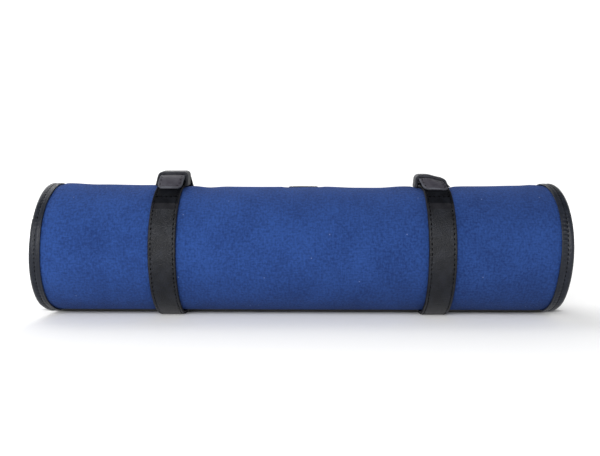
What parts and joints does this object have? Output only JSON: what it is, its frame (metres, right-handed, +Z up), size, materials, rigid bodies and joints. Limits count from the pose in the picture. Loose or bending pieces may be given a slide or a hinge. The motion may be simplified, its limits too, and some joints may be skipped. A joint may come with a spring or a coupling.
{
  "type": "brush roll case",
  "caption": "Rolled canvas case for artists' brushes, with leather edge binding, leather straps that snap shut on top, and a flap that unrolls behind.",
  "frame": {"origin": "centre of the bounding box's bottom face, on the surface that the straps rest on", "axes": "+X along the roll, +Y to the back where the flap opens, +Z up"},
  "size_m": [0.37, 0.101, 0.1058],
  "materials": {
    "canvas": "blue cotton canvas, plain weave, matte",
    "lining": "charcoal cotton twill, matte",
    "felt": "grey needled felt",
    "strap_leather": "black pebbled leather, satin, with stitched edges",
    "binding_leather": "thin black leather, folded and stitched",
    "snap_steel": "gunmetal-plated magnetic snap"
  },
  "bodies": {
    "roll": {"canvas": "canvas", "interlining": "felt", "lining": "lining", "pocket_panel": "canvas", "brush_guard": "canvas", "left_edge_binding": "binding_leather", "right_edge_binding": "binding_leather", "inner_edge_binding": "binding_leather", "left_front_strap": "strap_leather", "right_front_strap": "strap_leather", "left_snap_base": "snap_steel", "right_snap_base": "snap_steel", "top_patch": "strap_leather"},
    "flap_strip_1": {"flap_canvas_1": "canvas", "flap_interlining_1": "felt", "flap_lining_1": "lining", "left_flap_edge_binding_1": "binding_leather", "right_flap_edge_binding_1": "binding_leather", "left_back_strap_1": "strap_leather", "right_back_strap_1": "strap_leather"},
    "flap_strip_2": {"flap_canvas_2": "canvas", "flap_interlining_2": "felt", "flap_lining_2": "lining", "left_flap_edge_binding_2": "binding_leather", "right_flap_edge_binding_2": "binding_leather", "left_back_strap_2": "strap_leather", "right_back_strap_2": "strap_leather"},
    "flap_strip_3": {"flap_canvas_3": "canvas", "flap_interlining_3": "felt", "flap_lining_3": "lining", "left_flap_edge_binding_3": "binding_leather", "right_flap_edge_binding_3": "binding_leather", "left_back_strap_3": "strap_leather", "right_back_strap_3": "strap_leather"},
    "flap_strip_4": {"flap_canvas_4": "canvas", "flap_interlining_4": "felt", "flap_lining_4": "lining", "left_flap_edge_binding_4": "binding_leather", "right_flap_edge_binding_4": "binding_leather", "leading_edge_binding": "binding_leather", "left_strap_tail": "strap_leather", "left_keeper": "strap_leather", "left_snap_cap": "snap_steel", "right_strap_tail": "strap_leather", "right_keeper": "strap_leather", "right_snap_cap": "snap_steel"},
    "left_tab": {"left_pull_tab": "strap_leather"},
    "right_tab": {"right_pull_tab": "strap_leather"}
  },
  "joints": [
    {"name": "flap_open_1", "type": "hinge", "parent": "roll", "child": "flap_strip_1", "pos_m": [0, 0.01555, 0.00164], "axis": [-1, 0, 0], "range_deg": [0, 33]},
    {"name": "flap_open_2", "type": "hinge", "parent": "flap_strip_1", "child": "flap_strip_2", "pos_m": [0, 0.03822, 0.01704], "axis": [-1, 0, 0], "range_deg": [0, 31]},
    {"name": "flap_open_3", "type": "hinge", "parent": "flap_strip_2", "child": "flap_strip_3", "pos_m": [0, 0.04985, 0.04224], "axis": [-1, 0, 0], "range_deg": [0, 31]},
    {"name": "flap_open_4", "type": "hinge", "parent": "flap_strip_3", "child": "flap_strip_4", "pos_m": [0, 0.0468, 0.07017], "axis": [-1, 0, 0], "range_deg": [0, 31]},
    {"name": "left_tab_lift", "type": "hinge", "parent": "flap_strip_4", "child": "left_tab", "pos_m": [-0.094, -0.01491, 0.10234], "axis": [-1, 0, 0], "range_deg": [0, 90]},
    {"name": "right_tab_lift", "type": "hinge", "parent": "flap_strip_4", "child": "right_tab", "pos_m": [0.097, -0.01491, 0.10234], "axis": [-1, 0, 0], "range_deg": [0, 90]}
  ],
  "couplings": [
    {"joint": "flap_open_2", "follows": "flap_open_1", "ratio": 0.9393},
    {"joint": "flap_open_3", "follows": "flap_open_1", "ratio": 0.9393},
    {"joint": "flap_open_4", "follows": "flap_open_1", "ratio": 0.9393}
  ]
}
